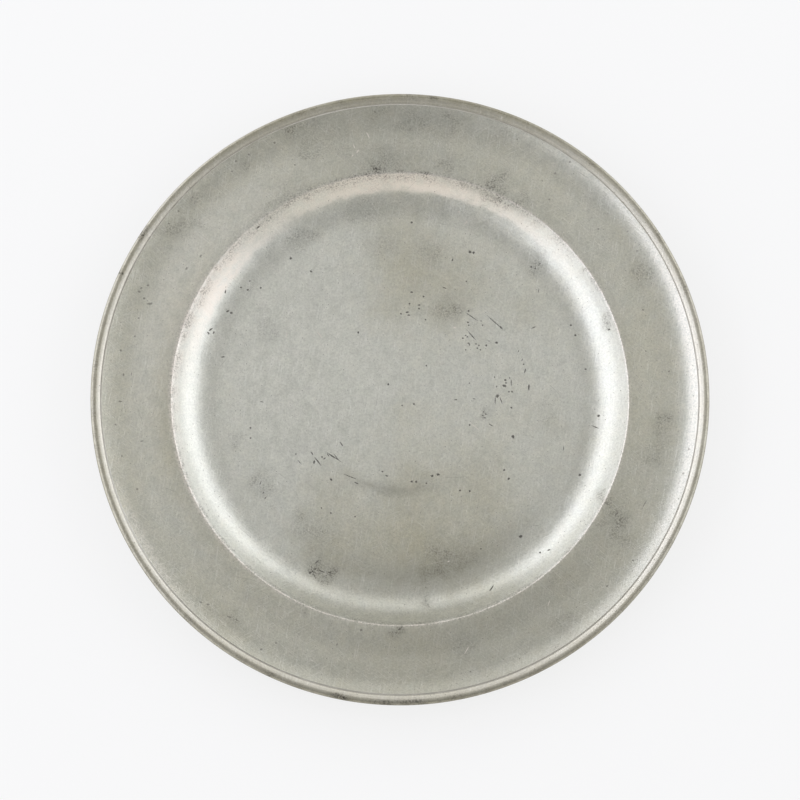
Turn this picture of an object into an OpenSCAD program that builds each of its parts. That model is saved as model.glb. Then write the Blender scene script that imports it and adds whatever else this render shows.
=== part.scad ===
// Pewter charger: a plain cast plate with a broad flange and a half-round reed soldered round its edge.
// Millimetres. Z is the axis of the plate, and the underside of the well lies on z = 0.

/* [Plate] */

// Diameter over the edge.
charger_d = 420; // [340:1:610]

// Thickness of the metal in the well, the booge and the flange.
metal_t = 2; // [1.6:0.1:3]

/* [Well] */

// Drop from the arris to the floor of the well.
well_depth = 17; // [13:0.5:24]

// Radius of the curve that leads from the well into the booge.
booge_r = 33; // [22:0.5:42]

// Slope of the straight upper part of the booge, in degrees.
booge_angle = 44; // [38:1:52]

/* [Flange] */

// Width of the flange from the arris to the edge.
flange_w = 54.5; // [45:0.5:75]

// Width of the outer stretch of the flange that sweeps up to the reed.
sweep_w = 28; // [18:0.5:32]

// Slope of the flange where it meets the reed, in degrees.
sweep_angle = 23; // [10:1:28]

/* [Reed] */

// Width of the reed at its foot.
reed_w = 7; // [5:0.25:10]

// Height of the reed's crest above its seat.
reed_h = 2; // [1.6:0.1:2.8]

// Width of the reed's inner side, from its foot to its crest.
reed_inner_w = 4.3; // [3:0.1:4.8]

// Depth of the rebate that seats the reed, below the end of the flange.
seat_depth = 0.6; // [0.4:0.05:0.9]

// Width of the solder line between the flange and the reed.
solder_w = 0.5; // [0.4:0.05:1]

// Thickness of the solder on the seat.
solder_t = 0.35; // [0.2:0.05:0.4]

/* [Hidden] */

$fn = 180;

// Angle between the points on the curves of the booge and the sweep.
curve_step = 4;

// Angle between the points on the rounds of the reed and the nosing.
round_step = 10;

charger_r = charger_d / 2;
arris_r = charger_r - flange_w;
flange_z = metal_t + well_depth;

// The booge leaves the well level, in an arc, and goes on straight from the end of the arc to the arris.
booge_rise = well_depth - booge_r * (1 - cos(booge_angle));
booge_run = booge_rise / tan(booge_angle);
well_r = arris_r - booge_run - booge_r * sin(booge_angle);

// The sweep is one arc, level where it leaves the flat of the flange and steepest at the rebate.
shoulder_r = charger_r - reed_w - solder_w;
sweep_start_r = shoulder_r - sweep_w;
sweep_r = sweep_w / sin(sweep_angle);
shoulder_z = flange_z + sweep_r * (1 - cos(sweep_angle));

// The margin under the reed goes on from the underside of the sweep and ends in a round nosing.
seat_z = shoulder_z - seat_depth;
margin_z = shoulder_z - metal_t * cos(sweep_angle);
nosing_r = (seat_z - margin_z) / 2;

// The inner side of the reed is one arc, steepest at its foot and level at its crest.
reed_inner_r = (pow(reed_inner_w, 2) + pow(reed_h, 2)) / (2 * reed_h);
reed_inner_angle = asin(reed_inner_w / reed_inner_r);
reed_outer_w = reed_w - reed_inner_w;

// Points of an arc that turns about a centre, by steps of an angle; at the angle 0 it is right below the centre.
function arc(centre, radius, from, to, step) =
  let (count = ceil(abs(to - from) / step))
    [for (i = [0:count]) let (a = from + (to - from) * i / count) centre + radius * [sin(a), -cos(a)]];

// Half of the section of the plate, one outline: over the front from the axis to the edge, and back underneath.
module plate_section() {
  booge_centre = [well_r, metal_t + booge_r];
  sweep_centre = [sweep_start_r, flange_z + sweep_r];
  nosing_centre = [charger_r - nosing_r, margin_z + nosing_r];
  arris = [arris_r, flange_z];
  back_corner = arris + metal_t * [tan(booge_angle / 2), -1];
  polygon(concat(
    [[0, metal_t]],
    arc(booge_centre, booge_r, 0, booge_angle, curve_step),
    [arris],
    arc(sweep_centre, sweep_r, 0, sweep_angle, curve_step),
    [[shoulder_r, seat_z]],
    arc(nosing_centre, nosing_r, 180, 0, round_step),
    arc(sweep_centre, sweep_r + metal_t, sweep_angle, 0, curve_step),
    [back_corner],
    arc(booge_centre, booge_r + metal_t, booge_angle, 0, curve_step),
    [[0, 0]]
  ));
}

// Section of the reed on its seat: an arc from the foot up to the crest, then a quarter of an ellipse down to the
// edge.
module reed_section() {
  inner = arc([0, reed_h - reed_inner_r], reed_inner_r, 180 + reed_inner_angle, 180, round_step);
  outer = [for (a = [round_step:round_step:90]) [reed_outer_w * sin(a), reed_h * cos(a)]];
  translate([charger_r - reed_outer_w, seat_z])
    polygon(concat(inner, outer));
}

// The cast plate: well, booge, arris and flange in one piece.
module charger_plate() {
  color("#b1b1a7")
    rotate_extrude()
      plate_section();
}

// The reed round the edge.
module rim_reed() {
  color("#a5a49a")
    rotate_extrude()
      reed_section();
}

// The solder that fills the foot of the rebate up to the reed.
module reed_solder() {
  color("#6f6c63")
    rotate_extrude()
      difference() {
        translate([shoulder_r, seat_z])
          square([solder_w + reed_inner_w, solder_t]);
        reed_section();
      }
}

charger_plate();
rim_reed();
reed_solder();
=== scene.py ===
"""The looks of a pewter charger: the cast plate, the reed round its edge and the solder line, in metres."""
import functools
import math
from types import SimpleNamespace

import bpy
import numpy as np
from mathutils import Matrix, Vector


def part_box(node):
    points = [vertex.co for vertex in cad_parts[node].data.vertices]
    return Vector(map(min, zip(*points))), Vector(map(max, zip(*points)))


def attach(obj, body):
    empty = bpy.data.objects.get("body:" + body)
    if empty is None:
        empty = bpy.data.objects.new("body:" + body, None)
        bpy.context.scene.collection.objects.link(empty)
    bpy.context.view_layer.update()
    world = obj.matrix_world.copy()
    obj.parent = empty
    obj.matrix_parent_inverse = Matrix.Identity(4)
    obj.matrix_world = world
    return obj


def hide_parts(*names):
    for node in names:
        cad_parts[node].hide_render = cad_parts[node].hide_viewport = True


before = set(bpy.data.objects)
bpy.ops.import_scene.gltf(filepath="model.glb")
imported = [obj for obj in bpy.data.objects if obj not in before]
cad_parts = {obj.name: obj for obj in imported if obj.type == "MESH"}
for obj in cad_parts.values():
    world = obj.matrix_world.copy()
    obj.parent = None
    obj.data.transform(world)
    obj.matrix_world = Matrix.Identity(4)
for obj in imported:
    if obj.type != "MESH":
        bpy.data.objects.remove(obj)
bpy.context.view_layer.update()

# Sizes of the charger, those that its solids are drawn from. What the boxes tell comes from the frame.
MM = 0.001
METAL = 2 * MM
WELL_DEPTH = 17 * MM
BOOGE_R = 33 * MM
BOOGE_ANGLE = math.radians(44)
FLANGE_W = 54.5 * MM
SWEEP_W = 28 * MM
SWEEP_ANGLE = math.radians(23)
REED_W = 7 * MM
SOLDER_W = 0.5 * MM

EDGE_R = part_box("charger_plate")[1][0]
SEAT_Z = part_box("rim_reed")[0][2]
REED_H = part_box("rim_reed")[1][2] - SEAT_Z
SOLDER_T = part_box("reed_solder")[1][2] - SEAT_Z

ARRIS_R = EDGE_R - FLANGE_W
BOOGE_RISE = WELL_DEPTH - BOOGE_R * (1 - math.cos(BOOGE_ANGLE))
WELL_R = ARRIS_R - BOOGE_RISE / math.tan(BOOGE_ANGLE) - BOOGE_R * math.sin(BOOGE_ANGLE)
FLANGE_Z = METAL + WELL_DEPTH
REED_FOOT_R = EDGE_R - REED_W
SHOULDER_R = REED_FOOT_R - SOLDER_W
SWEEP_START_R = SHOULDER_R - SWEEP_W
SWEEP_R = SWEEP_W / math.sin(SWEEP_ANGLE)
SHOULDER_Z = FLANGE_Z + SWEEP_R * (1 - math.cos(SWEEP_ANGLE))
MARGIN_Z = SHOULDER_Z - METAL * math.cos(SWEEP_ANGLE)
NOSING_R = (SEAT_Z - MARGIN_Z) / 2

# Width of the reed from its foot to its crest.
REED_CREST = 4.6 * MM

# Radii of the worn arc in the well and of the painted shade low down in it.
WORN_ARC_R = 62 * MM
LOW_SHADE_R = 122 * MM

# The photograph is square, and the charger fills about three quarters of it.
FRAME_W = 543 * MM
CAMERA_DISTANCE = 3.0
CAMERA_TILT = math.radians(8.5)
CAMERA_TARGET = Vector((0, -1.9 * MM, 20 * MM))
SENSOR_W = 36.0

# Colours of the left softbox, the right softbox and the panel in front, and the grey of the room.
COLD = (0.868, 0.887, 1.0)
COOL = (0.9, 0.92, 1.0)
WARM = (1.0, 0.95, 0.88)
ROOM = (0.48, 0.48, 0.48, 1)

# Points round each turn of a piece, and the angle between faces from which their edge is sharp.
TURNS = 600
CREASE_ANGLE = math.radians(50)
rng = np.random.default_rng(1720)

# Warm clouds of patina on the front: x, y and radius in millimetres from the axis, and strength.
PATINA = [
    (12, 86, 26, 0.38), (48, 82, 24, 0.3), (-10, 62, 14, 0.25), (34, 62, 13, 0.2), (0, 114, 30, 0.3),
    (8, -58, 20, 0.3), (50, -53, 24, 0.3), (-48, -62, 18, 0.25), (0, -96, 36, 0.5), (38, -98, 28, 0.4),
    (-42, -102, 26, 0.4), (64, -80, 20, 0.25), (104, -18, 16, 0.12), (6, -4, 12, 0.12), (86, 62, 14, 0.2),
]

# Smudges of dirt on the front: x, y and radius in millimetres from the axis, and strength.
GRIME = [
    (33, 66, 8, 0.38), (37, 62, 5, 0.5), (28, 60, 9, 0.2), (21, 104, 9, 0.35), (93, 93, 6, 0.6),
    (-67, 113, 7, 0.4), (-75, 108, 5, 0.3), (-58, 116, 5, 0.25), (-92, 54, 7, 0.3), (-89, 44, 5, 0.3),
    (-56, -111, 5, 0.9), (-60, -118, 3.5, 0.9), (-50, -119, 6, 0.8), (-95, -56, 6, 0.5),
    (-90, -64, 6, 0.4), (-66, -83, 9, 0.35), (-55, -90, 9, 0.35), (28, -110, 14, 0.45),
    (50, -109, 8, 0.3), (100, -12, 8, 0.25), (58, -9, 3, 0.7), (-113, -29, 4, 0.5), (16, -57, 5, 0.3),
    (-11, 107, 10, 0.25), (-22, 132, 9, 0.3), (-33, 130, 7, 0.3), (142, 51, 4, 0.5), (-78, 138, 8, 0.5),
    (-88, 130, 6, 0.45), (-66, 146, 6, 0.4), (-10, 161, 12, 0.65), (-17, 158, 7, 0.5), (32, 159, 6, 0.5),
    (65, 149, 8, 0.7), (84, 136, 5, 0.6), (60, 142, 4, 0.7), (67, 139, 4, 0.8), (75, 134, 4, 0.8),
    (80, 131, 3, 0.7), (96, 124, 5, 0.4), (5, 190, 6, 0.75), (18, 191, 7, 0.55), (36, 190, 9, 0.45),
    (-16, 197, 8, 0.35), (-42, 177, 12, 0.25), (70, 182, 9, 0.25), (-61, 191, 8, 0.4), (138, 136, 6, 0.4),
    (166, 85, 8, 0.4), (147, -80, 6, 0.8), (145, -89, 6, 0.7), (139, -70, 6, 0.6), (152, -97, 8, 0.35),
    (110, -154, 8, 0.35), (104, -126, 5, 0.3), (-113, -151, 6, 0.5), (179, -14, 6, 0.6),
    (178, -27, 6, 0.5), (172, -40, 7, 0.5), (-154, 116, 6, 0.6), (-140, 118, 5, 0.5), (-107, 162, 5, 0.5),
    (-141, 137, 4, 0.5), (-62, 171, 8, 0.45), (-74, 185, 7, 0.5), (-65, -146, 3, 0.8), (-2, -158, 4, 0.9),
    (17, -138, 4, 0.8), (42, -170, 7, 0.5),
]

# Dirt on the outer side of the reed: bearing and spread in degrees, and strength.
REED_DIRT = [
    (21, 2.5, 0.5), (32, 2, 0.5), (51.5, 2, 0.45), (69.5, 1, 0.4), (75, 1, 0.4), (83.5, 1.2, 0.6),
    (88, 2, 0.7), (101, 1, 0.7), (110, 2, 0.5), (147.5, 1.6, 1), (156, 0.6, 1), (174, 2, 0.5),
    (183, 1.5, 0.5), (190, 1.5, 0.5), (227, 1.5, 0.6), (245.5, 1.5, 0.6), (259, 2, 0.9), (268, 4, 0.8),
    (273, 3, 0.8), (280, 2, 0.5), (290, 1, 0.5), (331, 1.5, 0.4), (345, 2, 0.4),
]

# Stretches of the solder line that are pale, rubbed clean and partly painted highlight: bearing and spread
# in degrees, and strength.
SOLDER_RUBBED_AND_HIGHLIT = [
    (97, 20, 0.5), (0, 45, 0.45), (205, 18, 0.75), (270, 45, 0.35),
]

# Knife cuts and pits in the front: x, y, length and width
# in millimetres, and the turn of the length in degrees.
MARKS = [
    (49, 58.5, 10, 0.6, -35), (65, 54.5, 15, 0.7, -41), (49, 45.5, 9, 0.8, -49), (43, 43.5, 1.4, 1.1, 0),
    (46, 44.5, 1.3, 1.0, 0), (47, 40, 1.6, 1.1, 0), (52, 39.5, 1.2, 1.0, 0), (53, 36.5, 1.6, 1.0, -40),
    (55, 35.5, 1.2, 1.0, 0), (47, 62.5, 1.5, 1.3, 0), (59, 38.5, 1.5, 1.3, 0), (66, 40.5, 2.0, 1.6, 0),
    (61, 41.5, 1.0, 0.9, 0), (55.5, 55.5, 1.1, 0.9, 0), (56.5, 52.5, 1.3, 1.1, 0),
    (46.5, 54.5, 1.6, 1.1, 0), (48, 103.5, 2.0, 1.7, -30), (50.5, 103, 2.0, 1.7, 30),
    (36, 98, 1.6, 1.2, 45), (8, 124, 1.7, 1.5, 0), (90, 93, 1.6, 1.3, 0), (93, 92, 1.2, 1.0, 0),
    (96, 95, 1.2, 1.0, 0), (117, 52.5, 1.6, 1.4, 0), (120, 45.5, 1.6, 1.4, 0), (127, 22, 1.5, 1.2, 0),
    (85.5, 21, 3, 1.0, 75), (81, 34.5, 1.6, 0.8, 60), (72, 14.5, 1.6, 1.2, 0), (75, 16, 1.2, 1.0, 0),
    (66, 10, 1.2, 1.1, 0), (64.5, 16.5, 1.1, 1.0, 0), (76, 12.5, 4.5, 0.9, 90), (71, 10.5, 2.4, 1.6, -30),
    (74.5, 6.5, 1.3, 1.2, 0), (76.5, 6.5, 1.5, 1.3, 0), (88, 9.5, 4.5, 1.4, 90), (66.5, 3.5, 2.6, 2.2, 0),
    (65, 0.5, 5, 0.9, 88), (69, 0.5, 5, 0.8, -70), (76, -4.5, 1.6, 1.3, 0), (47.5, -16.5, 1.4, 1.2, 0),
    (62, -16.5, 3, 0.8, -30), (18, 24.5, 1.2, 1.1, 0), (77, -24.5, 2.6, 2.0, -60),
    (22, -51.5, 2.2, 1.6, 20), (26, -50.5, 2.2, 1.8, 0), (8, -55.5, 1.6, 1.4, 0),
    (11, -55.5, 1.6, 1.4, 0), (18, -56.5, 1.4, 1.0, 0), (41, -61.5, 1.5, 1.2, 0),
    (47.5, -62, 1.6, 1.4, 0), (71, -47.5, 1.6, 1.4, 0), (74, -53.5, 1.9, 1.5, 30),
    (122.5, -51, 2.0, 1.8, 0), (82, -93, 2.4, 1.8, 20), (55, -101.5, 1.2, 1.0, 0),
    (95, -104.5, 1.4, 1.2, 0), (101, -103, 2.0, 0.8, 20), (62, -129, 5, 0.9, 55), (133, -18, 5, 0.7, -25),
    (135.5, -10.5, 2.0, 1.6, 0), (142.5, 47.5, 1.5, 1.2, 0), (111.5, -32.5, 3, 0.5, 85),
    (-56, -41.5, 6.5, 1.0, -51), (-58.5, -42, 2.4, 1.4, 70), (-60, -36, 3, 0.9, -55),
    (-45, -38.5, 11.5, 0.7, -34), (-47, -37.5, 6, 0.7, -38), (-40, -29.5, 4, 0.9, -55),
    (-53, -38.5, 1.4, 1.1, 0), (-68.5, -42, 4, 0.6, -48), (-71, -36.5, 1.2, 1.0, 0),
    (-47, -54, 2.2, 1.4, -40), (-102, -18.5, 1.5, 1.3, 0), (-102, -25.5, 1.2, 1.0, 0),
    (9.5, -2, 1.6, 1.3, 0), (-8, 11.5, 1.6, 1.5, 0), (-9, -51.5, 2.0, 1.0, -20),
    (-12, -48.5, 1.4, 1.1, 0), (-47, -77, 1.3, 1.1, 0), (-53.5, -73.5, 1.2, 1.0, 0),
    (-94.5, -0.5, 2.2, 0.7, -10), (-75, 99, 2.0, 1.7, 0), (-61, 90, 2.2, 1.3, -30),
    (8, 75.5, 1.6, 1.3, 0), (16, 72.5, 1.6, 1.2, 0), (6.5, 67.5, 1.4, 1.1, 0), (13, 66.5, 1.8, 0.9, 0),
    (13, 64, 1.4, 1.1, 0), (5, 61.5, 2.4, 1.0, 10), (6, 59.5, 1.8, 1.0, 0), (0.5, 60.5, 1.5, 1.2, 0),
    (17.5, 56.5, 1.2, 1.0, 0), (-28.5, 47.5, 1.6, 1.4, 0), (-103, 83, 1.6, 0.8, 10),
    (-104.5, 77, 1.5, 1.2, 0), (-95.5, 78.5, 1.5, 1.2, 0), (-109, 78.5, 1.4, 1.2, 0),
    (106, 155, 1.8, 1.6, 0), (116.5, 162.5, 1.6, 1.4, 0), (102, 137, 1.5, 1.3, 0),
    (97.5, 150, 1.2, 1.0, 0), (135.5, 116.5, 1.4, 1.2, 0), (155.5, 114.5, 1.5, 1.2, 0),
    (162, 101, 1.5, 1.2, 0), (165.5, 60.5, 1.4, 1.2, 0), (167, 32, 1.3, 1.1, 0),
    (80.5, 178.5, 1.3, 1.2, 0), (-151.5, 128, 1.6, 1.4, 0), (-142, 138, 1.4, 1.2, 0),
    (-112.5, 163, 1.6, 1.4, 0), (-115, 156, 1.4, 1.2, 0), (-158, 119.5, 1.4, 1.2, 0),
    (140, -129, 1.8, 1.5, 0), (-178, -63, 1.8, 1.4, 0), (47, 52.5, 1.2, 1, 0), (45, 45.5, 1.2, 1, 0),
    (47.5, 39, 1.2, 1, 0), (45, 35.5, 1.1, 1, 0), (54, 38.5, 1.2, 1, 0), (69, 51, 3, 1.1, -48),
    (83.5, 28.5, 2, 0.8, 70), (84.5, 25.5, 1.2, 1, 0), (72.5, 12.5, 1.3, 1.1, 0), (72, 10.5, 1.3, 1.1, 0),
    (57, -7.5, 1.2, 1, 0), (58.5, -9, 1.4, 1, 0), (56.5, -10, 1.2, 1, 0), (58, -11.5, 1.2, 1, 0),
    (30.5, 78.5, 3, 0.6, -20), (45.5, 83, 1.1, 1, 0), (95, 76.5, 3, 0.6, 80), (91.5, 51, 4, 0.6, 25),
    (47.5, 12.5, 1.2, 1, 0), (38, 1, 2.2, 0.7, 10), (50.5, 1.5, 2, 0.7, -10), (-49, -37, 3, 0.7, -60),
    (-46, -37, 4, 0.7, -55), (-43.5, -38.5, 5, 0.7, -50), (-51.5, -39.5, 2, 0.9, 30),
    (-29.5, -56.5, 3, 0.8, -25), (-34, -52, 9, 0.6, -22), (-30.5, -79.5, 1.2, 1, 0),
    (-95, -56.5, 3, 0.8, 70), (-93, -63, 3, 0.7, 60), (-91.5, -66.5, 2, 0.7, 50), (1.5, -3, 1.1, 1, 0),
    (-56.5, -110.5, 3, 1, 40), (-61, -118, 2.4, 1.2, 20), (-53, -117, 4, 0.9, -20),
    (-47.5, -117.5, 3, 0.8, 10), (-172, 77, 1.8, 1.5, 0), (-176.5, 75, 1.8, 1.3, 30),
    (-178, 72.5, 2, 1.4, 0), (-174.5, 68, 1.6, 1.4, 0), (-170.5, 64.5, 4, 1.6, 10),
    (-178, 54.5, 1.4, 1.2, 0), (-180.5, 42, 1.4, 1.2, 0), (-190, 32, 1.6, 1.4, 0),
    (-188, 15.5, 2, 1.3, 80), (-182.5, 16, 2.4, 0.9, 85), (-190, -3, 2.4, 1.2, 0),
    (-193, -19, 1.5, 1.3, 0), (-145.5, 89, 2.4, 1.5, 55), (-136, 97.5, 2, 1.3, 60),
    (-175, -30, 2.4, 0.9, 20), (-188.5, -40.5, 1.5, 1.2, 0), (-134.5, -140, 2, 1.4, -30),
    (-129.5, -141.5, 2, 1.5, 0), (-115, -150, 4, 1.3, -15), (-110, -152, 3, 1.2, -30),
    (-119.5, 75, 2.4, 0.9, 80), (-118, 62, 2.4, 1.2, 20), (-115.5, 61, 2, 1.4, 0), (-129.5, 49, 3, 1, 40),
    (-131, 46.5, 2, 1, -40), (-127.5, 47, 2, 1, 60), (-121, 30.5, 3, 0.8, 10), (183, 18, 1.5, 1.2, 0),
    (192, -52.5, 1.6, 1.3, 0), (196, -36, 1.5, 1.3, 0), (165.5, -73, 6, 0.8, 60),
    (157.5, -111.5, 1.6, 1.4, 0), (-86, 176, 1.8, 1.5, 0), (-103.5, 167.5, 1.6, 1.4, 0),
    (-72, 161, 1.4, 1.2, 0), (-97, 118, 3, 0.9, 40), (-67, -140.5, 2.4, 1.4, -25),
    (-93.5, -172, 1.8, 1.4, 0), (-83.5, -167.5, 1.6, 1.3, 0), (-26, -158.5, 1.8, 1.4, 0),
    (-42.5, -168.5, 1.4, 1.1, 0), (47.5, -187, 1.6, 1.3, 0),
]

# Bright scrapes in the front, in the same way as the marks.
SCRAPES = [
    (-22, 182, 4.7, 0.8, -64), (-31.5, 174, 3.2, 0.7, -65), (-29, 170.5, 3, 1.0, 55),
    (-32.5, 167.5, 1.6, 0.8, 60), (45.5, 124, 3.5, 0.8, 50), (40.5, 131, 1.8, 0.7, -30),
    (51, -17.5, 9, 0.5, -39), (33, -110, 1.6, 0.8, 20), (-77.5, 46, 4, 0.5, 85), (-55, 46, 5, 0.6, -50),
    (37.5, 51, 2.2, 1.2, 0), (45, -172, 5, 0.6, 60), (100.5, -140, 4, 0.6, 70),
]

# Strength of the marks in the well, of those on the flange, and of the scrapes, which is below nought
# because they are bright.
WELL_MARK = 0.85
FLANGE_MARK = 0.52
SCRAPE = -0.8

# Fine random scratches: how many, and the least and the
# most of what is given for a mark, and of their strength.
SCRATCHES = 260
SCRATCH_LOWS = [-190, -190, 3, 0.25, -90, -0.3]
SCRATCH_HIGHS = [190, 190, 16, 0.5, 90, 0.3]


def smoothstep(low, high, value):
    """0 below low, 1 above high and an S-shaped cubic between."""
    t = np.clip((value - low) / (high - low), 0, 1)
    return t * t * (3 - 2 * t)


def soft_ramp(value, ease):
    """0 for values well below nought, the value itself well
    above, and a smooth bend of the given width between."""
    return ease * np.logaddexp(0, value / ease)


def bell(value, middle, width):
    """1 at the middle, falling off on both sides as a bell curve."""
    return np.exp(-((value - middle) / width) ** 2)


def bearing(x, y, degrees, spread):
    """1 on the given bearing from the axis, falling off as
    a bell curve to both sides by the spread in degrees."""
    away = np.angle(np.exp(1j * (np.arctan2(y, x) - math.radians(degrees))))
    return bell(away, 0, math.radians(spread))


def ripple(x, y, wavelength, waves=18):
    """Cosine waves of about one wavelength in random
    directions, added up to an uneven field of about -1 to 1."""
    field = np.zeros_like(x)
    for turn, phase, stretch in rng.uniform([0, 0, 0.7], [2 * math.pi, 2 * math.pi, 1.4], (waves, 3)):
        run = x * math.cos(turn) + y * math.sin(turn)
        field += np.cos(2 * math.pi * run / (wavelength * stretch) + phase)
    return field / math.sqrt(waves)


def spots(x, y, places):
    """Bell-shaped spots given by x, y and radius in millimetres and by strength. Where spots meet, each
    one takes its share of what the others leave."""
    left = np.ones_like(x)
    for spot_x, spot_y, radius, strength in places:
        away = np.hypot(x - spot_x * MM, y - spot_y * MM)
        left *= 1 - strength * bell(away, 0, radius * MM)
    return 1 - left


def nicks(phi, count, narrowest, widest, radius):
    """Bell-shaped nicks of random depth up to 1 at random
    places round a circle, their widths given along it."""
    field = np.zeros_like(phi)
    for place, width, depth in rng.uniform([0, narrowest, 0.2], [2 * math.pi, widest, 1], (count, 3)):
        away = np.angle(np.exp(1j * (phi - place)))
        field = np.maximum(field, depth * bell(away, 0, width / radius))
    return field


def settle_rim(x, y, z):
    """Warps the flange and its reed together, more and more towards the edge: slow waves round the rim
    sink it and draw it in a little, never outwards. Near the upper right the reed's foot is drawn in
    further, as a bell curve of the radius. The flange also sags on one side of the plate, most where the
    sweep starts: the sag sets in as an S-curve of the radius, then shrinks slowly, and goes within the
    last few millimetres before the reed, where the flange is steepest."""
    r, phi = np.hypot(x, y), np.arctan2(y, x)
    reach = smoothstep(ARRIS_R, EDGE_R, r)
    waves = 2 + np.cos(2 * phi + 0.6) + 0.6 * np.cos(3 * phi + 2.2) + 0.4 * np.cos(5 * phi + 4.0)
    sink = 0.18 * MM * waves
    draw = MM * (0.06 + 0.15 * (1 + np.cos(2 * phi - 3.8)) + 0.03 * (1 + np.cos(7 * phi + 0.4)))
    inward = 0.5 * MM * bell(r, REED_FOOT_R, 4 * MM) * bearing(x, y, 65, 75)
    pull = 1 - (reach * draw + inward) / EDGE_R
    low_r, steep_r = SWEEP_START_R + 4 * MM, SHOULDER_R - 7 * MM
    slow = np.clip((r - low_r) / (steep_r - low_r), 0, 1)
    quick = np.clip(soft_ramp(r - steep_r, 0.5 * MM) / (SHOULDER_R - steep_r), 0, 1)
    sag = smoothstep(ARRIS_R + 2 * MM, low_r, r) * (1 - 0.35 * slow - 0.65 * quick)
    sag *= 0.7 * MM * (1 + np.cos(phi + 0.3))
    return x * pull, y * pull, z - reach * sink - sag


def revolved(r, z, from_axis):
    """Carries a section round the axis of the plate. The section runs
    outwards over the top and back underneath. It starts and ends on the
    axis, where each end becomes one point, or else it closes on itself."""
    phi = np.linspace(0, 2 * math.pi, TURNS, endpoint=False)
    ends = [z[0], z[-1]]
    if from_axis:
        r, z = r[1:-1], z[1:-1]
    x, y, z = np.outer(r, np.cos(phi)), np.outer(r, np.sin(phi)), np.outer(z, np.ones(TURNS))
    rows = len(r)
    row, turn = np.arange(rows - 1 if from_axis else rows)[:, None], np.arange(TURNS)[None, :]
    after, below = (turn + 1) % TURNS, (row + 1) % rows
    corners = [row * TURNS + turn, below * TURNS + turn, below * TURNS + after, row * TURNS + after]
    faces = [np.stack(np.broadcast_arrays(*corners), axis=-1).reshape(-1, 4)]
    x, y, z = x.ravel(), y.ravel(), z.ravel()
    if from_axis:
        top, bottom, last = np.full(TURNS, len(x)), np.full(TURNS, len(x) + 1), (rows - 1) * TURNS
        faces.append(np.stack([top, turn[0], after[0]], axis=-1))
        faces.append(np.stack([bottom, last + after[0], last + turn[0]], axis=-1))
        x, y, z = np.append(x, [0, 0]), np.append(y, [0, 0]), np.append(z, ends)
    return x, y, z, faces


def add_piece(name, x, y, z, faces, points, corners=None):
    """Puts points and faces into a smooth mesh object at the origin, creased
    where faces meet sharply. Gives the material fields with a number at
    every point and fields with three numbers at every corner of a face."""
    mesh = bpy.data.meshes.new(name)
    vertices = np.stack([x, y, z], axis=-1)
    mesh.from_pydata(vertices.tolist(), [], [face for block in faces for face in block.tolist()])
    mesh.shade_smooth()
    mesh.set_sharp_from_angle(angle=CREASE_ANGLE)
    for field, values in points.items():
        layer = mesh.attributes.new(field, "FLOAT", "POINT")
        layer.data.foreach_set("value", values.astype(np.float32))
    for field, values in (corners or {}).items():
        layer = mesh.attributes.new(field, "FLOAT_VECTOR", "CORNER")
        layer.data.foreach_set("vector", values.astype(np.float32).ravel())
    piece = bpy.data.objects.new(name, mesh)
    bpy.context.scene.collection.objects.link(piece)
    return piece


def nearest_marks(x, y, faces, marks, count):
    """For every face the marks that lie nearest to its middle, as fields on
    its corners. A field holds the place along a mark and across it, in halves
    of its length and its width from its middle, and the mark's strength."""
    marks = np.array(marks, dtype=np.float32)
    marks[:, :4] *= MM
    marks[:, 4] = np.radians(marks[:, 4])

    def own_place(at_x, at_y, mark):
        """Place along and across a mark, from its middle."""
        off_x, off_y = at_x - mark[..., 0], at_y - mark[..., 1]
        cos, sin = np.cos(mark[..., 4]), np.sin(mark[..., 4])
        return off_x * cos + off_y * sin, off_y * cos - off_x * sin

    def middle(axis):
        """Middle of every face along one axis."""
        return np.concatenate([axis[block].mean(axis=1) for block in faces]).astype(np.float32)

    corners = np.concatenate([block.ravel() for block in faces])
    along, across = own_place(middle(x)[:, None], middle(y)[:, None], marks[None])
    away = np.hypot(np.maximum(np.abs(along) - marks[:, 2] / 2, 0), across)
    nearest = np.argpartition(away, count, axis=1)[:, :count]
    sides = np.concatenate([np.full(len(block), block.shape[1]) for block in faces])
    face = np.repeat(np.arange(len(nearest)), sides)
    fields = []
    for mark in (marks[nearest[face, k]] for k in range(count)):
        along, across = own_place(x[corners], y[corners], mark)
        fields.append(np.stack([along / mark[:, 2] * 2, across / mark[:, 3] * 2, mark[:, 5]], axis=-1))
    return corners, fields


def front_section():
    """Front of the plate from its centre to the rebate: the slope is given as a function of the radius,
    and the height is its running sum. The booge starts as an arc, whose sine grows evenly with the
    radius, and levels out at its steepest slope. The sweep is an arc too. Both ease in. At the arris the
    slope drops from the booge's to the flange's over a worn round."""
    lead_in, worn, ease, level_off = 8 * MM, 0.7 * MM, 2.5 * MM, math.radians(3)
    r = np.concatenate([
        np.linspace(0, WELL_R - lead_in, 40, endpoint=False),
        np.linspace(WELL_R - lead_in, ARRIS_R - worn, 34, endpoint=False),
        np.linspace(ARRIS_R - worn, ARRIS_R + worn, 9, endpoint=False),
        np.linspace(ARRIS_R + worn, SWEEP_START_R - lead_in, 5, endpoint=False),
        np.linspace(SWEEP_START_R - lead_in, SHOULDER_R, 20),
    ])
    arc = np.arcsin(np.clip(soft_ramp(r - WELL_R, ease) / BOOGE_R, 0, 0.98))
    booge = BOOGE_ANGLE - soft_ramp(BOOGE_ANGLE - arc, level_off)
    sweep = np.arcsin(soft_ramp(r - SWEEP_START_R, ease) / SWEEP_R)
    over = smoothstep(ARRIS_R - worn, ARRIS_R + worn, r)
    slope = (1 - over) * booge + over * sweep
    steps = np.diff(r) * np.tan((slope[1:] + slope[:-1]) / 2)
    rise = np.concatenate([[0], np.cumsum(steps)])
    flat = np.searchsorted(r, SWEEP_START_R - lead_in)
    z = METAL + rise * WELL_DEPTH / rise[flat]
    return r, z, slope


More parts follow.
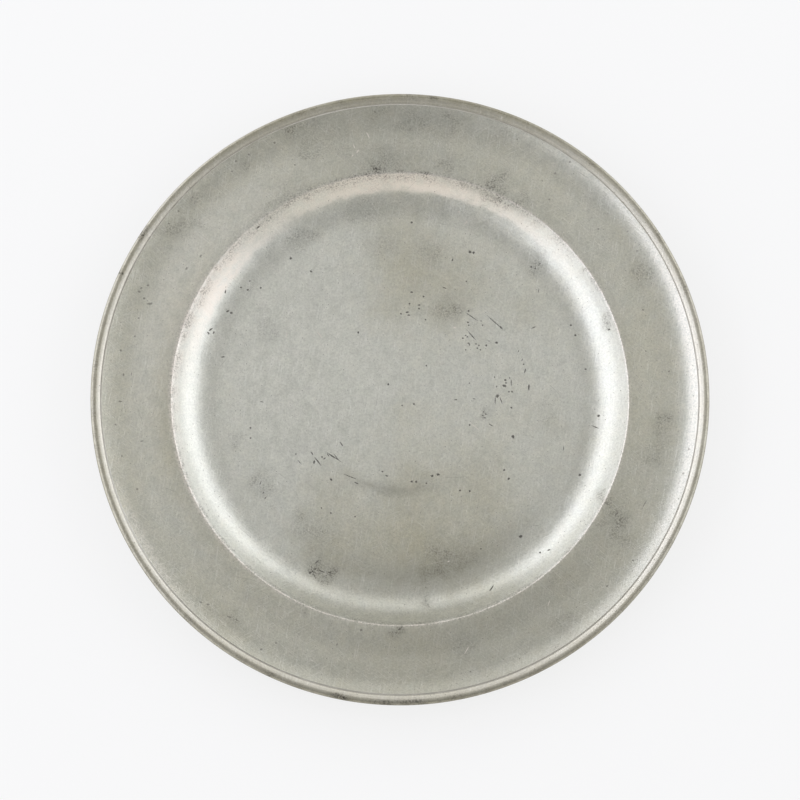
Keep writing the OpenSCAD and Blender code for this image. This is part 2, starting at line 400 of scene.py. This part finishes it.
def plate_section():
    """Section of the plate from the axis out and back to it: the front, the rebate, the round nosing and
    the back, which is the front moved by the metal's thickness square to its slope. Says which points
    are on the front."""
    r, z, slope = front_section()
    turn = np.linspace(math.pi / 2, -math.pi / 2, 9)
    nosing_r = EDGE_R - NOSING_R + NOSING_R * np.cos(turn)
    nosing_z = MARGIN_Z + NOSING_R + NOSING_R * np.sin(turn)
    edge_r = np.concatenate([[SHOULDER_R, REED_FOOT_R], nosing_r])
    edge_z = np.concatenate([[SEAT_Z, SEAT_Z], nosing_z])
    back_r, back_z = r + METAL * np.sin(slope), z - METAL * np.cos(slope)
    back = (r > ARRIS_R + METAL) | ((r < ARRIS_R) & (back_z < FLANGE_Z - METAL))
    back[1:-1] &= (np.arange(1, len(r) - 1) % 4 == 0) | (np.abs(r[1:-1] - ARRIS_R) < 6 * MM)
    section_r = np.concatenate([r, edge_r, back_r[back][::-1]])
    section_z = np.concatenate([z, edge_z, back_z[back][::-1]])
    front = np.concatenate([np.ones(len(r)), np.zeros(len(edge_r) + back.sum())])
    return section_r, section_z, front


def plate_places(x, y, front):
    """What the plate's fields share for every point: its radius and angle, its place smeared by a few
    millimetres, how far it lies on the front or the back, the flange, the rim and the top, and the bell
    curve of its bearing. Each part of a field is a bell curve or an S-curve of the radius times a bell
    curve of the bearing."""
    smeared_x = x + 2.5 * MM * ripple(x, y, 16 * MM)
    smeared_y = y + 2.5 * MM * ripple(x, y, 16 * MM)
    r, phi = np.hypot(x, y), np.arctan2(y, x)
    return SimpleNamespace(
        r=r,
        phi=phi,
        smeared_x=smeared_x,
        smeared_y=smeared_y,
        smeared_r=0.7 * r + 0.3 * np.hypot(smeared_x, smeared_y),
        front=front,
        back=1 - front,
        flange=smoothstep(ARRIS_R - MM, ARRIS_R + MM, r),
        rim=smoothstep(SHOULDER_R - 25 * MM, SHOULDER_R - 10 * MM, r),
        top=smoothstep(0.35, 0.75, np.sin(phi)),
        towards=functools.partial(bearing, x, y),
    )


def plate_patina(at):
    """Dull warm patina: clouds in the well, and a film on the flange that is thicker by the arris on the
    left, thinner at the upper left and upper right, and rubbed off the sweep on the right, which is
    partly a painted highlight."""
    thinner = (0.15 + 0.08 * at.flange) * at.towards(155, 45) * (1 - at.rim)
    thinner += 0.1 * at.towards(62, 22) * at.flange
    thicker = 0.3 * at.flange * at.towards(185, 35) * bell(at.r, ARRIS_R + 5 * MM, 9 * MM)
    # Patina thinned where the sweep's highlight falls on the right: partly a painted highlight.
    rubbed_and_highlit = at.towards(3, 60) * smoothstep(SHOULDER_R - 16 * MM, SHOULDER_R - 6 * MM, at.r)
    film = 0.31 * at.flange * (1 - rubbed_and_highlit)
    clouds = (1 - at.flange) * spots(at.smeared_x, at.smeared_y, PATINA)
    return at.front * (0.06 + film - thinner + thicker + clouds) + at.back * 0.6


def plate_tarnish_and_shade(at):
    """Olive brown tarnish, with painted shade in the same colour. On the front the strongest of these
    counts:
    tarnish just outside the arris, in a line under the arris at the upper right, by the reed and in a worn
    arc; painted shade under the arris, low down in the well and round the foot of the booge; and a
    darkening of the lowest and the highest part of the flange. On the back, a light tarnish, and painted
    shade darkens the edge."""
    inside = 1 - at.flange
    above_arris = 0.06 * bell(at.r, ARRIS_R + 3 * MM, 3.5 * MM) * at.flange
    # Painted shade: the booge just under the arris is darkened, least at the bottom, most at the upper
    # right, and not at the top.
    under_arris = 0.12 * smoothstep(ARRIS_R - 9 * MM, ARRIS_R - 4 * MM, at.r) * inside * (1 - at.top)
    under_arris *= (1 - 0.7 * at.towards(270, 55)) * (1 + at.towards(32, 16))
    upper_right = 0.3 * at.towards(64, 14) * bell(at.r, ARRIS_R - 2.5 * MM, 3 * MM) * inside
    by_reed = 0.05 * bell(at.r, SHOULDER_R, 0.8 * MM)
    worn_arc = 0.38 * bell(at.smeared_r, WORN_ARC_R, 3.5 * MM) * at.towards(262, 24)
    # Painted shade: darker low down in the well.
    low_well_shade = 0.42 * at.towards(282, 42) * bell(at.r, LOW_SHADE_R, 14 * MM)
    # Darker on the lowest and the highest part of the flange.
    on_flange = at.flange * np.maximum(0.25 * at.towards(290, 48), 0.17 * at.towards(90, 17))
    # Painted shade: a dark ring round the foot of the booge, most on the left and right and at the lower
    # right.
    sides = np.maximum(np.cos(at.phi) ** 2, 1.8 * at.towards(340, 28))
    booge_foot_shade = 0.12 * sides * bell(at.r, WELL_R + 4 * MM, 5 * MM)
    stains = [above_arris, under_arris, upper_right, by_reed, worn_arc, low_well_shade, on_flange, booge_foot_shade]
    # On the back, painted shade darkens the plate's edge.
    return at.front * np.maximum.reduce(stains) + at.back * (0.15 + 0.4 * bell(at.r, EDGE_R, 3 * MM))


def plate_grime(at):
    """Dirt: the smudges, and specks along the arris, which lie thickest at the top and on the left."""
    thick = np.maximum(0.5 * at.top, 0.5 * at.towards(160, 28)) * (1 - 0.5 * at.towards(50, 22))
    under_arris = thick * bell(at.r, ARRIS_R - 1.5 * MM, 4 * MM)
    along_arris = 0.5 * (1 - 0.7 * at.towards(355, 32)) * bell(at.r, ARRIS_R - MM, 1.5 * MM)
    over_top = 0.8 * at.towards(95, 34) * bell(at.r, ARRIS_R + 0.4 * MM, 1.2 * MM)
    smudges = spots(at.smeared_x, at.smeared_y, GRIME)
    return at.front * np.maximum.reduce([smudges, under_arris, along_arris, over_top]) + at.back * 0.15


def plate_bloom_and_reflection(at):
    """Chalky bloom on the booge under the arris: along the top, where it is also a painted reflection of a
    pale table, on the left, and widest at the upper left. It gives out towards the arris at the upper
    right, and a thin haze of it lies on the upper left flange."""
    on_left = 0.6 * at.towards(165, 25) * smoothstep(ARRIS_R - 7 * MM, ARRIS_R - 3 * MM, at.smeared_r)
    upper_left = 0.92 * at.towards(147, 20)
    upper_left *= smoothstep(ARRIS_R - 16 * MM, ARRIS_R - 12 * MM, at.smeared_r)
    # Along the top the cream band is also a painted reflection of a pale table.
    along_top = 0.9 * at.towards(86, 37)
    along_top *= smoothstep(ARRIS_R - 12.5 * MM, ARRIS_R - 9.5 * MM, at.smeared_r)
    haze = 0.12 * at.flange * at.towards(155, 32) * (1 - at.rim)
    bloom_and_reflection = haze + (1 - at.flange) * np.maximum.reduce([upper_left, along_top, on_left])
    gone = 0.7 * at.towards(65, 13) * smoothstep(ARRIS_R - 5 * MM, ARRIS_R - 2 * MM, at.r)
    return at.front * bloom_and_reflection * (1 - gone)


def plate_wear_and_highlight(at):
    """Metal worn bare along the arris, least at the top and widest on the left, with a painted highlight
    on the arris at the upper right; and a painted highlight in the same bare colour at the end of the
    sweep on the right and at the lower left."""
    left = at.towards(180, 40)
    # The share at the upper right is a painted highlight on the arris.
    arris = 0.8 - 0.4 * at.top + 0.2 * left + 0.5 * at.towards(45, 22)
    arris *= bell(at.r, ARRIS_R, 0.6 * MM + 0.5 * MM * left)
    # Painted highlight: bright bare colour where the sweep's highlight falls.
    sweep = np.maximum(at.towards(8, 36), 0.7 * at.towards(212, 13))
    sweep *= at.flange * smoothstep(SHOULDER_R - 8 * MM, SHOULDER_R - 4 * MM, at.r)
    return at.front * np.maximum(arris, 0.45 * sweep)


def plate_marks(x, y, faces, front):
    """Cuts, pits, scrapes and fine scratches on the front, as fields on the corners of the faces: the
    two nearest marks, and the nearest scratch."""
    marks = []
    for mark in MARKS:
        in_well = math.hypot(mark[0], mark[1]) * MM < ARRIS_R
        marks.append(mark + (WELL_MARK if in_well else FLANGE_MARK,))
    marks += [scrape + (SCRAPE,) for scrape in SCRAPES]
    scratches = rng.uniform(SCRATCH_LOWS, SCRATCH_HIGHS, (SCRATCHES, len(SCRATCH_LOWS)))
    corners, (mark_a, mark_b) = nearest_marks(x, y, faces, marks, 2)
    scratch = nearest_marks(x, y, faces, scratches, 1)[1][0]
    for field in (mark_a, mark_b, scratch):
        field[:, 2] *= front[corners]
    return {"mark_a": mark_a, "mark_b": mark_b, "scratch": scratch}


def charger_plate():
    """The plate's section carried round the axis. Its front is uneven as a hand-turned casting is: the
    well dips a little, the booge waves and the arris is nicked."""
    section_r, section_z, front = plate_section()
    x, y, z, faces = revolved(section_r, section_z, True)
    front = np.append(np.repeat(front[1:-1], TURNS), [1, 0])
    r, phi = np.hypot(x, y), np.arctan2(y, x)
    uneven = 0.035 * MM * ripple(x, y, 55 * MM) + 0.012 * MM * ripple(x, y, 24 * MM)
    wave = 0.05 * MM * ripple(x, y, 26 * MM) * bell(r, (WELL_R + ARRIS_R) / 2, 12 * MM)
    nicked = 0.35 * MM * nicks(phi, 90, 0.8 * MM, 2.5 * MM, ARRIS_R) * bell(r, ARRIS_R, 0.9 * MM)
    at = plate_places(x, y, front)
    points = {
        "patina": plate_patina(at),
        "tarnish_and_shade": plate_tarnish_and_shade(at),
        "grime": plate_grime(at),
        "bloom_and_reflection": plate_bloom_and_reflection(at),
        "wear_and_highlight": plate_wear_and_highlight(at),
    }
    marks = plate_marks(x, y, faces, front)
    x, y, z = settle_rim(x, y, z + front * (uneven + wave - nicked))
    return add_piece("charger_plate_skin", x, y, z, faces, points, marks)


def reed_fields(x, y):
    """Where the reed is dull, tarnished and dirty: on its outer side, which starts nearer to the foot on
    the left, and there the darkening is also painted shade. The lowest part of the edge is darkest, with
    dirt and with painted shade. Near the top the very edge is spared this darkening and stays pale."""
    r = np.hypot(x, y)
    top, left = bearing(x, y, 90, 45), bearing(x, y, 185, 60)
    low, right = bearing(x, y, 270, 45), bearing(x, y, 5, 55)
    outer_start = REED_FOOT_R + (0.5 - 0.17 * left) * REED_CREST
    outer_full = REED_FOOT_R + (1.2 - 0.4 * left) * REED_CREST
    edge = smoothstep(EDGE_R - 2.2 * MM, EDGE_R - 0.6 * MM, r)
    # The darkening of the outer side is partly painted shade; it spares the very edge near the top.
    outer = smoothstep(outer_start, outer_full, r) * (1 - 0.75 * edge * bearing(x, y, 108, 55))
    crusted = smoothstep(REED_FOOT_R + 0.5 * REED_CREST, REED_FOOT_R + 0.9 * REED_CREST, r)
    crusts = [strength * crusted * bearing(x, y, place, spread) for place, spread, strength in REED_DIRT]
    return {
        "patina": 0.15 + 0.4 * outer + 0.3 * top,
        # Painted shade on the lowest part of the edge.
        "tarnish_and_shade": 0.25 * outer + 0.3 * edge * low + 0.12 * (1 - right) * (1 - left),
        "grime": np.maximum.reduce(crusts + [0.25 * outer]),
    }


def rim_reed():
    """The reed's section carried round the edge. Its inner side is given by
    its slope: steepest at the foot, then even, and level at the crest. From
    there a quarter of an ellipse leads down to the plate's own edge."""
    across = np.linspace(0, REED_CREST, 24)
    even = 0.45 * (1 - smoothstep(0.6 * REED_CREST, REED_CREST, across))
    slope = even + 0.15 * np.exp(-across / (0.6 * MM))
    rise = np.concatenate([[0], np.cumsum(np.diff(across) * np.tan((slope[1:] + slope[:-1]) / 2))])
    fall = np.linspace(0, math.pi / 2, 10)[1:]
    crest_r, outer_w = REED_FOOT_R + REED_CREST, REED_W - REED_CREST - 0.1 * MM
    seat = np.linspace(crest_r + outer_w, REED_FOOT_R, 5)[1:-1]
    r = np.concatenate([REED_FOOT_R + across, crest_r + outer_w * np.sin(fall), seat])
    z = np.concatenate([rise * REED_H / rise[-1], REED_H * np.cos(fall), 0 * seat])
    x, y, z, faces = revolved(r, SEAT_Z + z, False)
    phi = np.arctan2(y, x)
    worn = 0.1 * MM * nicks(phi, 60, 1.5 * MM, 5 * MM, EDGE_R) * smoothstep(SEAT_Z, SEAT_Z + REED_H, z)
    points = reed_fields(x, y)
    x, y, z = settle_rim(x, y, z - worn)
    return add_piece("rim_reed_skin", x, y, z, faces, points)


def reed_solder():
    """A thin strip with a hollow top between the rebate's shoulder and the reed's inner side, carried
    round. It is dull with dirt but for pale stretches, rubbed clean and partly a painted highlight."""
    across = np.linspace(0, 1, 6)
    top_r = SHOULDER_R + (REED_FOOT_R + SOLDER_T - SHOULDER_R) * across
    top_z = SOLDER_T * (1 - 0.3 * np.sin(math.pi * across))
    r = np.concatenate([[SHOULDER_R], top_r, [REED_FOOT_R]])
    z = np.concatenate([[0], top_z, [0]])
    x, y, z, faces = revolved(r, SEAT_Z + z, False)
    # Pale stretches of the solder line, partly a painted highlight.
    stretches = [strength * bearing(x, y, place, spread) for place, spread, strength in SOLDER_RUBBED_AND_HIGHLIT]
    rubbed_and_highlit = np.maximum.reduce(stretches)
    x, y, z = settle_rim(x, y, z)
    return add_piece("reed_solder_line", x, y, z, faces, {"rubbed_and_highlit": rubbed_and_highlit})


def linear(hex_colour):
    """An sRGB hex colour such as "#808080" as linear red, green, blue and alpha."""
    channels = [int(hex_colour[i:i + 2], 16) / 255 for i in (1, 3, 5)]
    return tuple(c / 12.92 if c <= 0.04045 else ((c + 0.055) / 1.055) ** 2.4 for c in channels) + (1.0,)


def add_node(tree, kind, inputs=None, **settings):
    """Adds one node, sets its properties, and sets or links its live inputs by name or number. A node
    that is given as an input stands for its first live output."""
    node = tree.nodes.new("ShaderNode" + kind)
    for name, value in settings.items():
        setattr(node, name, value)
    live = [socket for socket in node.inputs if socket.enabled]
    for key, value in (inputs or {}).items():
        socket = live[key] if isinstance(key, int) else next(s for s in live if s.name == key)
        if isinstance(value, bpy.types.Node):
            value = next(s for s in value.outputs if s.enabled)
        if isinstance(value, bpy.types.NodeSocket):
            tree.links.new(value, socket)
        else:
            socket.default_value = value
    return node


def new_material(name):
    """A material with no nodes yet, and the function that adds nodes to it."""
    material = bpy.data.materials.new(name)
    material.use_nodes = True
    material.node_tree.nodes.clear()
    return material, functools.partial(add_node, material.node_tree)


def wiped(add, place):
    """Fine scratches from wiping and scouring, in three directions, drawn a little wider than they are
    so that they show."""
    scratched = None
    for turn in (25, 80, -40):
        streak = add(
            "Mapping",
            {"Vector": place, "Rotation": (0, 0, math.radians(turn)), "Scale": (15 * MM, 0.7 * MM, 1)},
            vector_type="TEXTURE",
        )
        streak = add("TexNoise", {"Vector": streak, "Scale": 1.0, "Detail": 2.0})
        streak = add("MapRange", {"Value": streak, "From Min": 0.56, "From Max": 0.72})
        scratched = add("Math", {0: scratched, 1: streak}, operation="MAXIMUM") if scratched else streak
    return scratched


def pitted(add, place, mottle):
    """Pits of half a millimetre or less, in clusters where the mottling is strong."""
    cells = add("TexVoronoi", {"Vector": place, "Scale": 1 / (3.5 * MM)}, voronoi_dimensions="2D")
    chance = add("SeparateColor", {"Color": cells.outputs["Color"]})
    reach = add("MapRange", {"Value": chance.outputs["Red"], "To Min": 0.03, "To Max": 0.11})
    inside = add("Math", {0: reach, 1: cells.outputs["Distance"]}, operation="SUBTRACT")
    pits = add("MapRange", {"Value": inside, "From Max": 0.04, "To Max": 0.6})
    share = add("MapRange", {"Value": mottle, "From Min": 0.42, "From Max": 0.66, "To Max": 0.8})
    present = add("Math", {0: chance.outputs["Green"], 1: share}, operation="LESS_THAN")
    return add("Math", {0: pits, 1: present}, operation="MULTIPLY")


def marked(add, place, pits):
    """The marks, added to the pits, and the bright scrapes. Each mark
    is an ellipse, 1 away from its middle at its edge, which is frayed.
    Dark marks have a strength above nought and bright ones below."""
    fray = add("TexNoise", {"Vector": place, "Scale": 1 / (0.8 * MM), "Detail": 2.0})
    bright = None
    for field in ("mark_a", "mark_b", "scratch"):
        own = add("SeparateXYZ", {0: add("Attribute", attribute_name=field).outputs["Vector"]})
        off = add("CombineXYZ", {0: own.outputs["X"], 1: own.outputs["Y"]})
        away = add("VectorMath", {0: off}, operation="LENGTH")
        away = add("Math", {0: fray, 1: 1.2, 2: away}, operation="MULTIPLY_ADD")
        cover = add("MapRange", {"Value": away, "From Min": 1.85, "From Max": 1.25})
        dark = add("Math", {0: cover, 1: own.outputs["Z"]}, operation="MULTIPLY")
        light = add("Math", {0: dark, 1: -1.0}, operation="MULTIPLY")
        pits = add("Math", {0: pits, 1: dark}, operation="MAXIMUM")
        bright = add("Math", {0: bright, 1: light}, operation="MAXIMUM") if bright else light
    return pits, bright


def pewter(name, clean, dull, roughness, turned):
    """Old pewter, cast, turned and long handled: a soft grey metal with a
    satin shine, cloudy with a warm dull patina, finely mottled, grained
    and turned, pitted, cut, scratched, and dirty or chalky in patches. Its
    fields also paint shade, highlights and a reflection into its colour."""
    material, add = new_material(name)
    place = add("TexCoord").outputs["Object"]
    patina, tarnish_and_shade, grime, bloom_and_reflection, wear_and_highlight = (
        add("Attribute", attribute_name=field).outputs["Fac"]
        for field in ("patina", "tarnish_and_shade", "grime", "bloom_and_reflection", "wear_and_highlight")
    )

    # Patina in clouds as wide as a palm, mottling as wide as a fingertip, the grain of the casting, and
    # the lathe's rings, drawn a little coarser than they are so that they show.
    clouds = add("TexNoise", {"Vector": place, "Scale": 1 / (50 * MM), "Detail": 4.0, "Roughness": 0.6})
    mottle = add("TexNoise", {"Vector": place, "Scale": 1 / (8 * MM), "Detail": 4.0, "Roughness": 0.6})
    grain = add("TexNoise", {"Vector": place, "Scale": 1 / (1.3 * MM), "Detail": 3.0, "Roughness": 0.7})
    flat = add("VectorMath", {0: place, 1: (1, 1, 0)}, operation="MULTIPLY")
    radius = add("VectorMath", {0: flat}, operation="LENGTH")
    rings = add("TexNoise", {"W": radius, "Scale": 1 / (1.4 * MM), "Detail": 3.0}, noise_dimensions="1D")
    dulled = add("MapRange", {
        "Value": clouds, "From Min": 0.3, "From Max": 0.7, "To Min": -0.25, "To Max": 0.01,
    })
    dulled = add("Math", {0: mottle, 1: 0.24, 2: dulled}, operation="MULTIPLY_ADD")
    dulled = add("Math", {0: dulled, 1: patina}, operation="ADD", use_clamp=True)
    colour = add("Mix", {"Factor": dulled, "A": linear(clean), "B": linear(dull)}, data_type="RGBA")
    tone = add("Math", {0: mottle, 1: 0.36, 2: 0.36}, operation="MULTIPLY_ADD")
    tone = add("Math", {0: clouds, 1: 0.2, 2: tone}, operation="MULTIPLY_ADD")
    tone = add("Math", {0: grain, 1: 0.7, 2: tone}, operation="MULTIPLY_ADD")
    tone = add("Math", {0: rings, 1: turned, 2: tone}, operation="MULTIPLY_ADD")
    tone = add("Math", {0: tone, 1: 1 - turned / 2}, operation="MULTIPLY")
    colour = add("Mix", {"Factor": 1.0, "A": colour, "B": tone}, data_type="RGBA", blend_type="MULTIPLY")
    tint = add(
        "VectorMath",
        {0: mottle.outputs["Color"], 1: (0.03, 0.03, 0.03), 2: (0.985, 0.985, 0.985)},
        operation="MULTIPLY_ADD",
    )
    colour = add("Mix", {"Factor": 1.0, "A": colour, "B": tint}, data_type="RGBA", blend_type="MULTIPLY")

    # Fine scratches thin out the patina.
    scratched = wiped(add, place)
    lifted = add("Math", {0: scratched, 1: 0.24}, operation="MULTIPLY")
    colour = add("Mix", {"Factor": lifted, "A": colour, "B": linear("#f0eee8")}, data_type="RGBA")

    # Tarnish and painted shade are a smooth olive brown, and the chalky bloom, partly a painted reflection,
    # is cream, thick and thin in turn.
    browned_and_shaded = add("MapRange", {
        "Value": mottle, "From Min": 0.3, "From Max": 0.7, "To Min": 0.75, "To Max": 1.25,
    })
    browned_and_shaded = add("Math", {0: browned_and_shaded, 1: tarnish_and_shade}, operation="MULTIPLY", use_clamp=True)
    colour = add("Mix", {"Factor": browned_and_shaded, "A": colour, "B": linear("#767468")}, data_type="RGBA")
    # The cream bloom is partly a painted reflection of a pale table along the top.
    chalk_and_reflection = add("MapRange", {"Value": mottle, "From Min": 0.35, "From Max": 0.55, "To Min": 0.45})
    chalk_and_reflection = add("Math", {0: chalk_and_reflection, 1: bloom_and_reflection}, operation="MULTIPLY", use_clamp=True)
    colour = add("Mix", {"Factor": chalk_and_reflection, "A": colour, "B": linear("#f5ede2")}, data_type="RGBA")

    # Dirt is a thin film in ragged patches, finely speckled, and lies in the pits and the dark marks.
    ragged = add("MapRange", {
        "Value": mottle, "From Min": 0.36, "From Max": 0.62, "To Min": 0.35, "To Max": 1.2,
    })
    specks = add("TexNoise", {"Vector": place, "Scale": 1 / (1.1 * MM), "Detail": 2.0, "Roughness": 0.7})
    specks = add("MapRange", {
        "Value": specks, "From Min": 0.45, "From Max": 0.62, "To Min": 0.24, "To Max": 1.08,
    })
    dirt = add("Math", {0: ragged, 1: grime}, operation="MULTIPLY")
    dirt = add("Math", {0: dirt, 1: specks}, operation="MULTIPLY")
    pits, bright = marked(add, place, pitted(add, place, mottle))
    dark = add("Math", {0: dirt, 1: pits}, operation="MAXIMUM", use_clamp=True)
    colour = add("Mix", {"Factor": dark, "A": colour, "B": linear("#4c4944")}, data_type="RGBA")

    # Bare metal on the worn edges, in short jagged lengths, and in the bright scrapes; painted highlights
    # in the same colour on the arris and the sweep.
    bare_and_highlight = add("MapRange", {"Value": grain, "From Min": 0.4, "From Max": 0.56})
    bare_and_highlight = add("Math", {0: bare_and_highlight, 1: wear_and_highlight}, operation="MULTIPLY")
    bare_and_highlight = add("Math", {0: bare_and_highlight, 1: bright}, operation="MAXIMUM", use_clamp=True)
    colour = add("Mix", {"Factor": bare_and_highlight, "A": colour, "B": linear("#ece4da")}, data_type="RGBA")

    # Dirt, tarnish and bloom, with the painted shade and reflection among them, are rougher than the metal,
    # and pits, scratches, grain and rings make its relief.
    rough = add("MapRange", {
        "Value": mottle, "From Min": 0.3, "From Max": 0.7,
        "To Min": roughness - 0.03, "To Max": roughness + 0.03,
    })
    rough = add("Math", {0: dark, 1: 0.25, 2: rough}, operation="MULTIPLY_ADD")
    rough = add("Math", {0: browned_and_shaded, 1: 0.15, 2: rough}, operation="MULTIPLY_ADD")
    rough = add("Math", {0: chalk_and_reflection, 1: 0.15, 2: rough}, operation="MULTIPLY_ADD")
    height = add("Math", {0: pits, 1: -1.0}, operation="MULTIPLY")
    height = add("Math", {0: scratched, 1: -0.3, 2: height}, operation="MULTIPLY_ADD")
    height = add("Math", {0: grain, 1: 0.12, 2: height}, operation="MULTIPLY_ADD")
    height = add("Math", {0: rings, 1: 0.08, 2: height}, operation="MULTIPLY_ADD")
    bump = add("Bump", {"Strength": 1.0, "Distance": 0.15 * MM, "Height": height})
    shader = add("BsdfPrincipled", {
        "Base Color": colour, "Metallic": 1.0, "Roughness": rough, "Normal": bump,
    })
    add("OutputMaterial", {"Surface": shader})
    return material


def soft_solder():
    """Old soft solder with dirt in it: a dull, uneven grey, and pale where it was rubbed clean, which is
    partly a painted highlight.
    """
    material, add = new_material("dirty soft solder")
    place = add("TexCoord").outputs["Object"]
    rubbed_and_highlit = add("Attribute", attribute_name="rubbed_and_highlit").outputs["Fac"]
    uneven = add("TexNoise", {"Vector": place, "Scale": 1 / (9 * MM), "Detail": 4.0})
    share = add("MapRange", {"Value": uneven, "From Min": 0.35, "From Max": 0.65})
    colour = add("Mix", {"Factor": share, "A": linear("#a8a398"), "B": linear("#c2beb3")}, data_type="RGBA")
    # Pale where rubbed clean, partly a painted highlight.
    colour = add("Mix", {"Factor": rubbed_and_highlit, "A": colour, "B": linear("#eeebe3")}, data_type="RGBA")
    shader = add("BsdfPrincipled", {"Base Color": colour, "Metallic": 1.0, "Roughness": 0.5})
    add("OutputMaterial", {"Surface": shader})
    return material


def panel(name, place, aim, width, height, radiance, colour=(1, 1, 1)):
    """A flat studio light of even radiance that faces a point."""
    light = bpy.data.lights.new(name, "AREA")
    light.shape = "RECTANGLE"
    light.size, light.size_y = width, height
    light.energy = radiance * math.pi * width * height
    light.color = colour
    lamp = bpy.data.objects.new(name, light)
    lamp.location = place
    lamp.rotation_euler = (Vector(aim) - Vector(place)).to_track_quat("-Z", "Y").to_euler()
    lamp.visible_camera = False
    bpy.context.scene.collection.objects.link(lamp)


def studio():
    """Two large softboxes at the sides, weaker panels above, behind and in front, and a dim room. Each
    panel is given by its place, the point it faces, its width and height and its radiance."""
    world = bpy.data.worlds.new("studio")
    bpy.context.scene.world = world
    world.use_nodes = True
    world.node_tree.nodes["Background"].inputs["Color"].default_value = ROOM
    panel("left softbox", (-1.2, 0.36, 0.77), (0, 0.36, 0.77), 3.28, 1.5, 1.37, COLD)
    panel("right softbox", (1.2, 0.53, 0.65), (0, 0.53, 0.65), 2.5, 1.26, 1.27, COOL)
    panel("overhead panel", (0, 0.4, 2.2), (0, 0.4, 0), 4.6, 0.36, 0.56)
    panel("back panel", (0, 1.6, 1.11), (0, 0, 1.11), 2.8, 1.22, 0.55)
    panel("front panel", (0, -1.2, 0.22), (0, 0, 0.22), 2.8, 0.4, 1.0, WARM)


def floor():
    """A wide pale table top just under the plate, which lights up to white for the camera and in
    reflections, and keeps the shadow."""
    half, drop, glow_share = 6.0, 0.2 * MM, 0.75
    corners = [(-half, -half, -drop), (half, -half, -drop), (half, half, -drop), (-half, half, -drop)]
    mesh = bpy.data.meshes.new("floor")
    mesh.from_pydata(corners, [], [(0, 1, 2, 3)])
    top = bpy.data.objects.new("floor", mesh)
    bpy.context.scene.collection.objects.link(top)
    material, add = new_material("white table top")
    diffuse = add("BsdfDiffuse", {"Color": linear("#ececec")})
    glow = add("Emission", {"Color": linear("#ffffff")})
    path = add("LightPath").outputs
    seen = add("Math", {0: path["Is Camera Ray"], 1: path["Is Glossy Ray"]}, operation="MAXIMUM")
    seen = add("Math", {0: seen, 1: path["Is Transmission Ray"]}, operation="MAXIMUM")
    share = add("Math", {0: seen, 1: glow_share}, operation="MULTIPLY")
    mixed = add("MixShader", {0: share, 1: diffuse, 2: glow})
    add("OutputMaterial", {"Surface": mixed})
    mesh.materials.append(material)


def camera():
    """A long lens that looks down on the plate, a little from the near side."""
    towards_eye = Vector((0, -math.sin(CAMERA_TILT), math.cos(CAMERA_TILT)))
    place = CAMERA_TARGET + CAMERA_DISTANCE * towards_eye
    data = bpy.data.cameras.new("camera")
    data.sensor_width = SENSOR_W
    data.lens = SENSOR_W * CAMERA_DISTANCE / FRAME_W
    eye = bpy.data.objects.new("camera", data)
    eye.location = place
    eye.rotation_euler = (CAMERA_TARGET - place).to_track_quat("-Z", "Y").to_euler()
    bpy.context.scene.collection.objects.link(eye)
    bpy.context.scene.camera = eye


bpy.context.scene.view_settings.view_transform = "Standard"
camera()
studio()
floor()

cast_pewter = pewter("aged cast pewter", clean="#d7d7cd", dull="#b0aa90", roughness=0.34, turned=0.06)
reed_pewter = pewter("tarnished pewter", clean="#e2ded2", dull="#b4ae94", roughness=0.32, turned=0.4)
for piece, node, slot, material in (
    (charger_plate(), "charger_plate", "cast_pewter", cast_pewter),
    (rim_reed(), "rim_reed", "reed_pewter", reed_pewter),
    (reed_solder(), "reed_solder", "soft_solder", soft_solder()),
):
    piece.data.materials.append(material)
    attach(piece, "root")
    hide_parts(node)
